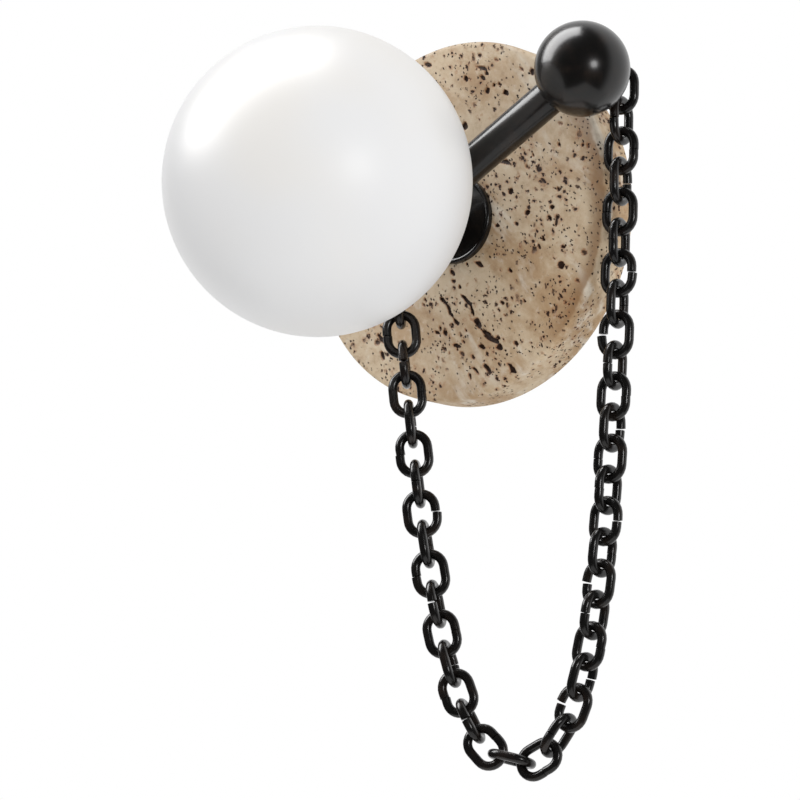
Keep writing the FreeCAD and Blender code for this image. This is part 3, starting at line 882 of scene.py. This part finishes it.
@dataclass
class StoneDisc(Piecework):
    """The round stone backplate, its arris worn round, its face pitted and its rear recessed.

    The pits are in millimetres on the face. A fissure is a half width and its path; a chosen pit
    is its place and its half length.
    """

    arris: float = 2.6 * MM
    rear_edge: float = 0.6 * MM
    recess_radius: float = 60.0 * MM
    recess_depth: float = 14.0 * MM
    bore: float = 5.3 * MM
    sides: int = 620
    rings: int = 120
    pit_depth: float = 1.5
    slant: float = 50.0
    seed: int = 7
    waves: int = 14
    wave_lengths: Point = (3, 9)
    rough_turn: float = 6.28
    raggedness: float = 1.4
    scattered: int = 120
    scatter_radius: float = 96
    bare_share: float = 0.07
    least_size: float = 0.9
    most_stretch: float = 2.2
    slant_spread: float = 14
    fissures: tuple[tuple[float, tuple[Point, ...]], ...] = (
        (0.8, ((0.6, -41), (7.4, -48), (10.2, -56))),
        (1.7, ((9.0, -55), (13.4, -61))),
        (1.6, ((16, -64), (24.8, -72.5), (27, -77))),
        (1.2, ((31, -84), (36, -89))),
        (0.8, ((-12, -42), (-7.8, -46), (-6, -51), (-1, -58))),
        (1.0, ((-4.4, -69), (0.5, -70.5))),
        (1.1, ((8.0, -83), (12, -87))),
        (1.2, ((15.6, -82), (19.8, -87.5))),
        (1.0, ((11, -71), (16.4, -73))),
        (0.9, ((-17, 84), (-14, 79), (-10.5, 73))),
    )
    chosen: tuple[Triple, ...] = (
        (7.9, 51.4, 2.4), (23, 69, 1.9), (9, 79, 1.8), (35, 66, 1.5), (36.6, 10, 1.7),
        (64, -3, 1.5), (47.3, -3, 1.8), (67.5, -35, 2.3), (-13.4, -58, 1.5),
    )

    def build(self) -> None:
        """Turn the disc, press its hollows into the face and note their depth for the finish."""
        radius, _, front = self.reach("stone_backplate")
        edge, shoulder = radius - self.arris, front - self.arris
        rings = [(r, front) for r in np.linspace(self.bore, edge, self.rings)]
        rounded = arc((edge, shoulder), self.arris, 90, 0, 8)
        side = [(radius, s) for s in np.linspace(shoulder, self.rear_edge, 6)[1:]]
        rear = [(radius - self.rear_edge, 0.0), (self.recess_radius, 0.0)]
        rear += [(self.recess_radius, self.recess_depth), (self.bore, self.recess_depth), (self.bore, front)]
        patch = lathe(rings + rounded[1:] + side + rear, self.out_axes("stone_backplate"), self.sides)
        points = patch.points
        depth = self.depth(points[..., 0] / MM, points[..., 2] / MM)
        face = points[..., 1] < -(front - 0.3 * self.arris)
        face[-1] = False
        points[..., 1] += np.where(face, depth, 0.0) * MM
        piece = mesh_piece("stone", [patch])
        corners = np.empty(len(piece.data.vertices) * 3)
        piece.data.vertices.foreach_get("co", corners)
        x, y, z = corners.reshape(-1, 3).T / MM
        shown = np.where(y < -0.8 * front / MM, self.depth(x, z), 0.0) / self.pit_depth
        hollowed = piece.data.attributes.new(HOLLOW, "FLOAT", "POINT")
        hollowed.data.foreach_set("value", shown.astype(np.float32))
        self.hand_in(piece, Finish.TRAVERTINE, "stone_backplate")

    def depth(self, x: np.ndarray, z: np.ndarray) -> np.ndarray:
        """The deepest of all the hollows at each point, their outlines made ragged by waves.

        The waves are the mean of cosines of random direction and length.

        Args:
            x: the points' places to the right, in millimetres.
            z: their heights.

        Returns:
            The depth at each point, in millimetres.
        """
        random = np.random.default_rng(self.seed)
        ragged = np.zeros_like(x)
        shortest, longest = self.wave_lengths
        for _ in range(self.waves):
            heading, length, phase = random.uniform((0, shortest, 0), (math.pi, longest, self.rough_turn))
            ahead = x * math.cos(heading) + z * math.sin(heading)
            ragged += np.cos(ahead * self.rough_turn / length + phase) / self.waves
        deepest = np.zeros_like(x)
        for hollow in self.hollows(random):
            deepest = np.maximum(deepest, hollow.depth(x, z, self.raggedness * ragged))
        return deepest

    def hollows(self, random: np.random.Generator) -> list[Hollow]:
        """The long fissures, the chosen pits and a scatter of others.

        Args:
            random: the source of chance, already used for the waves.

        Returns:
            Every hollow of the face.
        """
        found = [Hollow(x, z, size, 0.75 * size, self.pit_depth, self.slant) for x, z, size in self.chosen]
        for wide, path in self.fissures:
            for (x0, z0), (x1, z1) in zip(path, path[1:]):
                long = math.hypot(x1 - x0, z1 - z0)
                slant = math.degrees(math.atan2(z0 - z1, x1 - x0))
                middle = (0.5 * (x0 + x1), 0.5 * (z0 + z1))
                half_long = random.uniform(0.48, 0.58) * long
                found.append(Hollow(*middle, half_long, wide, self.pit_depth, slant))
        for _ in range(self.scattered):
            away = self.scatter_radius * math.sqrt(random.uniform(self.bare_share, 1))
            heading = random.uniform(0, 2 * math.pi)
            size = self.least_size + self.least_size * random.uniform() ** 3
            stretch = random.uniform(1.0, self.most_stretch)
            turned = self.slant + random.normal(0, self.slant_spread)
            middle = (away * math.cos(heading), away * math.sin(heading))
            found.append(Hollow(*middle, size * stretch, size * 0.8, random.uniform(0.7, 1.3), turned))
        return found


@dataclass
class HubAndStem(Piecework):
    """The flange against the stone and the stem that carries the rod."""

    bore: float = 5.05 * MM
    rim_height: float = 3.6 * MM
    bead: float = 2.6 * MM
    groove: float = 0.8 * MM
    round_over: float = 1.1 * MM
    boss: float = 10.5 * MM
    boss_round: float = 0.8 * MM
    dome_rise: float = 0.62
    dome_power: float = 1.6
    dome_steps: int = 12
    stem_sunk: float = 3.0 * MM

    def build(self) -> None:
        """Turn the flange with a round bead, a groove and a shallow dome.

        A share s of the way in, the dome has risen by dome_rise * (1 - (1 - s) ** dome_power).
        """
        radius, foot, top = self.reach("hub_flange")
        rim = foot + self.rim_height
        inner = radius - self.bead
        bead = arc((radius - self.round_over, rim - self.round_over), self.round_over, 0, 90, 6)
        bead += arc((inner + self.round_over, rim - self.round_over), self.round_over, 90, 180, 6)[1:]
        dome = []
        for share in np.linspace(0, 1, self.dome_steps):
            rise = (top - rim - 0.6 * MM) * (1 - (1 - share) ** self.dome_power) * self.dome_rise
            dome.append((inner + (self.boss - inner) * share, rim - self.groove + rise))
        crown = [(self.boss - 0.2 * MM, top - 1.2 * MM)]
        crown += arc((self.boss - 1.0 * MM, top - self.boss_round), self.boss_round, 0, 90, 4)
        profile = [(self.bore, foot), (radius, foot), *bead, *dome, *crown]
        profile += [(self.bore, top), (self.bore, foot)]
        piece = mesh_piece("hub", [lathe(profile, self.out_axes("hub_flange"), 128)])
        self.hand_in(piece, Finish.BLACK_BRONZE, "hub_flange")
        self.stem(top)

    def stem(self, foot: float) -> None:
        """Turn the stem, its top sunk in the rod that it carries.

        Args:
            foot: how far from the wall the stem starts.
        """
        low, high = self.frame.low_high("stem")
        radius = (high[0] - low[0]) / 2
        rod_low, rod_high = self.frame.low_high("rod")
        top = -(rod_low[1] + rod_high[1]) / 2 - self.stem_sunk
        profile = [(0.0, foot), (radius, foot), (radius, top), (0.0, top)]
        piece = mesh_piece("stem_bar", [lathe(profile, self.out_axes("stem"), 96)])
        self.hand_in(piece, Finish.BLACK_BRONZE, "stem")


@dataclass
class RodAndBall(Piecework):
    """The slanted rod with a ball on its long end."""

    rod_edge: float = 0.9 * MM
    flat_margin: float = 0.3 * MM
    join_groove: float = 0.25 * MM
    ball_steps: int = 96
    ball_sides: int = 160
    def build(self) -> None:
        """Turn the rod and the ball about the line through their middles."""
        stud_low, stud_high = self.frame.low_high("ball_stud")
        rod_low, rod_high = self.frame.low_high("rod")
        radius = (rod_high[1] - rod_low[1]) / 2
        ball_low, ball_high = self.frame.low_high("ball")
        ball_radius = (ball_high[0] - ball_low[0]) / 2
        ball = self.ball_middle()
        stud = (stud_low + stud_high) / 2
        along = unit(ball - stud)
        axes = Axes.facing(ball, along)
        flat = math.sqrt(ball_radius**2 - (radius + self.flat_margin) ** 2)
        short_end = self.short_end(along, ball)
        body = arc((radius - self.rod_edge, short_end + self.rod_edge), self.rod_edge, -90, 0, 5)
        rod = [(0.0, short_end), *body, (radius, -flat - self.join_groove)]
        rod += [(radius - self.join_groove, -flat), (0.0, -flat)]
        piece = mesh_piece("rod_bar", [lathe(rod, axes, 96)])
        self.hand_in(piece, Finish.BLACK_BRONZE, "rod")
        start = math.degrees(math.asin((radius + self.flat_margin) / ball_radius))
        sphere = arc((0.0, 0.0), ball_radius, -90 + start, 90, self.ball_steps)
        sphere[-1] = (0.0, ball_radius)
        piece = mesh_piece("ball_end", [lathe([(0.0, -flat), *sphere], axes, self.ball_sides)])
        self.hand_in(piece, Finish.BLACK_BRONZE, "ball")

    def ball_middle(self) -> np.ndarray:
        """The middle of the ball, from the corners of its faces, which all lie on the sphere.

        Returns:
            The middle, in the row frame.
        """
        points = np.concatenate(self.frame.solids("ball"))
        low, high = points.min(0), points.max(0)
        size = (high - low).max() / 2
        near = points[np.linalg.norm(points - (low + high) / 2, axis=1) > size * 0.96]
        return sphere_middle(near)

    def short_end(self, along: np.ndarray, ball: np.ndarray) -> float:
        """How far back from the ball's middle the rod's short end lies."""
        points = np.concatenate(self.frame.solids("rod"))
        return float(((points - ball) @ along).min())


def sphere_middle(points: np.ndarray) -> np.ndarray:
    """The middle of the sphere nearest to some points, by least squares."""
    rows = np.c_[2 * points, np.ones(len(points))]
    return np.linalg.lstsq(rows, (points**2).sum(1), rcond=None)[0][:3]


@dataclass
class Chain(Piecework):
    """The swag of oval links, each set on the axes of its solid in the frame."""

    wire: float = 2.5 * MM
    inner_half_width: float = 5.2 * MM
    inner_half_length: float = 8.385 * MM
    butt_gap: float = 0.9 * MM
    least_gap: float = 0.25
    more_gap: float = 1.4
    sprung: float = 1.6 * MM
    sprung_middle: float = 0.35
    sprung_points: float = 8.0
    golden: float = 0.618
    wire_sides: int = 20
    bend_steps: int = 14
    made: int = field(default=0, init=False)

    def build(self) -> None:
        """Make the links of every chain node, two to a node."""
        for node in self.frame.names("chain_links"):
            patches = []
            for solid in self.frame.solids(node):
                patches.append(self.link(solid))
                self.made += 1
            piece = mesh_piece(node + "_wire", patches, 50.0)
            self.hand_in(piece, Finish.BLACK_BRONZE, node)

    def link(self, solid: np.ndarray) -> Patch:
        """Round wire along an oval whose two ends don't quite meet, half way along one side.

        The oval is two half circles joined by straight sides. One end of the wire is set a little
        off the other, as a hand-closed link's is.

        Args:
            solid: the corners of the link in the frame.

        Returns:
            The wire's surface.
        """
        middle = solid.mean(0)
        _, _, directions = np.linalg.svd(solid - middle, full_matrices=False)
        length, width, _ = directions
        spans = [(solid @ direction).max() + (solid @ direction).min() for direction in directions]
        centre = sum(span / 2 * direction for span, direction in zip(spans, directions))
        if (middle - centre) @ width < 0:
            width = -width
        share = (self.made * self.golden) % 1.0
        gap = self.butt_gap * (self.least_gap + self.more_gap * share**2)
        path = self.oval(self.inner_half_width + self.wire, gap)
        fading = np.clip(1 - np.arange(len(path)) / self.sprung_points, 0, 1)
        off = fading * self.sprung * (share - self.sprung_middle)
        points = centre + path[:, :1] * length + (path[:, 1:] + off[:, None]) * width
        return swept_wire(points, np.cross(length, width), self.wire, self.wire_sides, closed=False)

    def oval(self, bend: float, gap: float) -> np.ndarray:
        """The path of the wire's middle, from one side of the butt joint round to the other.

        Args:
            bend: the radius of the half circles, to the wire's middle.
            gap: how far apart the wire's ends are.

        Returns:
            Places along and across the link, one row for each section.
        """
        straight = self.inner_half_length - self.inner_half_width
        turn = np.linspace(0, math.pi, self.bend_steps + 1)
        over = np.c_[straight + bend * np.sin(turn), bend * np.cos(turn)]
        sides = np.linspace(straight, -straight, 5)[1:-1]
        back = np.c_[sides, np.full(3, -bend)]
        first = np.c_[np.linspace(gap / 2, straight, 4)[:-1], np.full(3, bend)]
        last = first[::-1] * (-1, 1)
        return np.concatenate([first, over, back, -over, last])


@dataclass
class ScrewEye(Piecework):
    """A round wire eye with a collar, on the ball or on the rod's short end."""

    node: str
    holder: np.ndarray
    ring_radius: float = 5.25 * MM
    wire: float = 1.72 * MM
    shank: float = 7.8 * MM
    sunk: float = 4.0 * MM
    collar: float = 3.2 * MM
    collar_deep: float = 0.8 * MM
    collar_side: float = 0.5 * MM
    collar_edge: float = 0.3 * MM

    def build(self) -> None:
        """Find the ring's plane and its shank in the frame and sweep them."""
        points = np.concatenate(self.frame.solids(self.node))
        outward, centre, normal = self.pose(points)
        turn = np.linspace(0, 2 * math.pi, 64, endpoint=False)[:, None]
        side = np.cross(normal, outward)
        path = centre + self.ring_radius * (outward * np.cos(turn) + side * np.sin(turn))
        ring = swept_wire(path, normal, self.wire, 20, closed=True)
        foot, end = self.shank - self.collar_deep, self.shank + self.sunk
        stem = [(0.0, self.ring_radius), (self.wire, self.ring_radius), (self.wire, foot)]
        stem += [(self.collar - self.collar_edge, foot), (self.collar, self.shank - self.collar_side)]
        stem += [(self.collar, self.shank), (self.wire, self.shank), (self.wire, end), (0.0, end)]
        shank = lathe(stem, Axes.facing(centre, -outward), 32)
        piece = mesh_piece(self.node + "_wire", [ring, shank], 40.0)
        self.hand_in(piece, Finish.BLACK_BRONZE, self.node)

    def pose(self, points: np.ndarray) -> tuple[np.ndarray, np.ndarray, np.ndarray]:
        """Find how the eye lies in the frame.

        Args:
            points: the corners of the eye.

        Returns:
            The direction out to the ring, the ring's middle and the line through its hole.
        """
        middle = points.mean(0)
        _, _, directions = np.linalg.svd(points - middle, full_matrices=False)
        outward, _, normal = directions
        if (middle - self.holder) @ outward < 0:
            outward = -outward
        heights = points @ outward
        tip = heights.max()
        far = points[heights > tip - 2 * (self.ring_radius + self.wire)]
        flat = points - np.outer(heights, outward)
        centre = flat.mean(0) + outward * (tip - self.ring_radius - self.wire)
        for direction in (np.cross(normal, outward), normal):
            spread = far @ direction
            centre += direction * ((spread.max() + spread.min()) / 2 - centre @ direction)
        return outward, centre, normal


@dataclass
class Globe(Piecework):
    """The blown opal globe, open at its ground mouth."""

    wall: float = 3.0 * MM
    mouth: float = 34.0 * MM
    sides: int = 160
    outside_steps: int = 96
    inside_steps: int = 64

    def build(self) -> None:
        """Turn the globe's wall: outside, mouth and inside."""
        _, rear, front = self.reach("globe")
        deep = front - rear
        radius = (deep**2 + self.mouth**2) / (2 * deep)
        centre = front - radius
        start = math.degrees(math.asin(self.mouth / radius))
        outside = arc((0.0, centre), radius, -90 + start, 90, self.outside_steps)
        outside[-1] = (0.0, centre + radius)
        inner = radius - self.wall
        inner_start = math.degrees(math.acos((centre - rear) / inner))
        inside = arc((0.0, centre), inner, 90, -90 + inner_start, self.inside_steps)
        inside[0] = (0.0, centre + inner)
        patch = lathe([*outside, *inside, outside[0]], self.out_axes("globe"), self.sides)
        piece = mesh_piece("opal_globe", [patch], 40.0)
        self.hand_in(piece, Finish.OPAL_GLASS, "globe")


@dataclass
class HiddenParts(Piecework):
    """What the stone and the globe hide: the wall's parts, the stud, the fitter and the lamp."""

    kept: ClassVar[dict[Finish, tuple[str, ...]]] = {
        Finish.ZINC_STEEL: ("wall_crossbar", "threaded_tube", "crossbar_nut", "fitter_nut", "ball_stud"),
        Finish.BLACK_BRONZE: ("fitter_plate",),
        Finish.SPRING_STEEL: ("globe_clips",),
        Finish.PORCELAIN: ("lamp_holder", "bulb_base"),
        Finish.PIN_METAL: ("bulb_pins",),
    }

    def build(self) -> None:
        """Show the frame's own nodes, and turn the bulb's glass smooth."""
        for finish, nodes in self.kept.items():
            for node in nodes:
                self.keep_node(node, finish)
        radius, foot, top = self.reach("bulb_glass")
        capsule = [(0.0, foot), (radius, foot), *arc((0.0, top - radius), radius, 0, 90, 16)]
        capsule[-1] = (0.0, top)
        piece = mesh_piece("bulb_capsule", [lathe(capsule, self.out_axes("bulb_glass"), 48)])
        self.hand_in(piece, Finish.BULB_GLASS, "bulb_glass")


# the studio -----------------------------------------------------------------------------------


@dataclass(frozen=True)
class Softbox:
    """An area light aimed at the light, placed by a direction and a distance from it."""

    name: str
    towards: Triple
    away: float
    width: float
    height: float
    watts: float
    lies_along: Triple = (1.0, 0.0, 0.0)
    sheen_only: bool = False

    def build(self, target: Vector) -> None:
        """Put the light in the scene, its long side lying along its direction.

        Args:
            target: the point that the light faces.
        """
        data = bpy.data.lights.new(self.name, "AREA")
        data.shape = "RECTANGLE" if self.width != self.height else "DISK"
        data.size, data.size_y = self.width, self.height
        data.energy = self.watts
        lamp = bpy.data.objects.new(self.name, data)
        back = Vector(self.towards).normalized()
        side = (Vector(self.lies_along) - back * back.dot(Vector(self.lies_along))).normalized()
        turn = Matrix((side, back.cross(side), back)).transposed().to_4x4()
        lamp.matrix_world = Matrix.Translation(target + back * self.away) @ turn
        lamp.visible_diffuse = not self.sheen_only
        bpy.context.scene.collection.objects.link(lamp)


@dataclass
class Studio:
    """White surroundings, soft lights and a camera set where the photograph was taken from."""

    target: Triple = (0.05, -0.08, 0.02)
    fill: float = 0.86
    room: float = 0.04
    floor_height: float = -1.15
    floor_half: float = 0.9
    floor_glow: float = 0.85
    floor_colours: tuple[Colour, Colour] = ((0.80, 0.80, 0.80), (0.84, 0.84, 0.83))
    lamps: tuple[Softbox, ...] = (
        Softbox("key", (-0.48, -0.33, 0.81), 1.2, 1.9, 0.9, 3.6, (0.68, 0.38, 0.63)),
        Softbox("key_sheen", (-0.48, -0.33, 0.81), 1.25, 1.9, 0.8, 44.0, (0.68, 0.38, 0.63), True),
        Softbox("spot", (0.90, -0.43, -0.04), 1.5, 0.40, 0.40, 5.0),
    )
    lens_pixels: float = 3684.8
    frame_pixels: float = 800.0
    azimuth: float = 37.27
    elevation: float = -10.36
    roll: float = -1.373
    place: Triple = (1.1648, -1.6097, -0.4587)
    sensor: float = 36.0
    nearest: float = 0.05

    def build(self) -> None:
        """Set up the world, the lights, the floor and the camera."""
        self.world()
        self.floor()
        for lamp in self.lamps:
            lamp.build(Vector(self.target))
        self.camera()
        bpy.context.scene.view_settings.view_transform = "Standard"

    def world(self) -> None:
        """White to the camera; metal sees it white beside the wall and dim on the room's side."""
        g = Graph(bpy.data.worlds.new("studio"))
        bpy.context.scene.world = g.owner
        out = g.node("SeparateXYZ", {0: g.node("TexCoord", output="Generated")}, output="Y")
        shiny = self.room + (1.0 - self.room) * out.step(0.05, 0.45)
        camera_ray = g.node("LightPath", output="Is Camera Ray")
        glossy_ray = g.node("LightPath", output="Is Glossy Ray")
        mirror_ray = glossy_ray.most(g.node("LightPath", output="Is Transmission Ray"))
        strength = self.fill + mirror_ray * (shiny - self.fill)
        strength = strength + camera_ray * (1.0 - strength)
        g.finish(g.node("Background", {"Color": (1, 1, 1), "Strength": strength}), "OutputWorld")

    def floor(self) -> None:
        """A plain pale floor far below the light."""
        reach = self.floor_half * np.array([(-1, -1), (1, -1), (1, 1), (-1, 1)], float)
        mesh = bpy.data.meshes.new("floor")
        mesh.from_pydata(np.c_[reach, np.full(4, self.floor_height)].tolist(), [], [(0, 1, 2, 3)])
        floor = bpy.data.objects.new("floor", mesh)
        bpy.context.scene.collection.objects.link(floor)
        g = Graph.of_material("pale_floor")
        cloth = g.noise(g.place, 40.0, 3.0)
        matt = g.node("BsdfDiffuse", {"Color": g.mix(cloth, *self.floor_colours)})
        white = g.node("Emission", {"Color": (1, 1, 1), "Strength": 1.0})
        seen = g.node("LightPath", output="Is Camera Ray") * self.floor_glow
        surface = g.node("MixShader", {0: seen, 1: matt, 2: white})
        floor.data.materials.append(g.finish(surface, "OutputMaterial"))
        floor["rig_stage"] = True

    def camera(self) -> None:
        """A long lens, turned by the azimuth, elevation and roll that match the photograph."""
        turn, rise, roll = (math.radians(angle) for angle in (self.azimuth, self.elevation, self.roll))
        back = Vector((math.sin(turn) * math.cos(rise), -math.cos(turn) * math.cos(rise), math.sin(rise)))
        right = (-back).cross(Vector((0, 0, 1))).normalized()
        up = right.cross(-back)
        level_right = right * math.cos(roll) + up * math.sin(roll)
        level_up = up * math.cos(roll) - right * math.sin(roll)
        data = bpy.data.cameras.new("camera")
        data.sensor_width = self.sensor
        data.lens = data.sensor_width * self.lens_pixels / self.frame_pixels
        data.clip_start = self.nearest
        camera = bpy.data.objects.new("camera", data)
        pose = Matrix((level_right, level_up, back)).transposed().to_4x4()
        camera.matrix_world = Matrix.Translation(Vector(self.place)) @ pose
        bpy.context.scene.collection.objects.link(camera)
        bpy.context.scene.camera = camera


def note_size(name: str, sizes: dict) -> None:
    """Args:
        name: what the bounds are noted as.
        sizes: the bounds noted so far.
    """
    low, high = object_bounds()
    sizes[name] = {"low": list(low), "high": list(high)}


def main() -> None:
    """Build every sub-assembly round the frame, then the studio."""
    logging.basicConfig(level=logging.INFO, format="%(message)s")
    frame = Frame()
    sizes: dict = {}
    note_size("frame", sizes)
    paints = Paintbox()
    assemblies: list[Piecework] = [
        StoneDisc(frame, paints),
        HubAndStem(frame, paints),
        RodAndBall(frame, paints),
        ScrewEye(frame, paints, "ball_eye", frame.middle("ball")),
        ScrewEye(frame, paints, "rod_eye", frame.middle("rod")),
        Chain(frame, paints),
        HiddenParts(frame, paints),
        Globe(frame, paints),
    ]
    for assembly in assemblies:
        assembly.build()
        for piece in assembly.pieces:
            log.info("built %s", piece)
    Studio().build()
    note_size("finished", sizes)


if __name__ == "__main__":
    main()
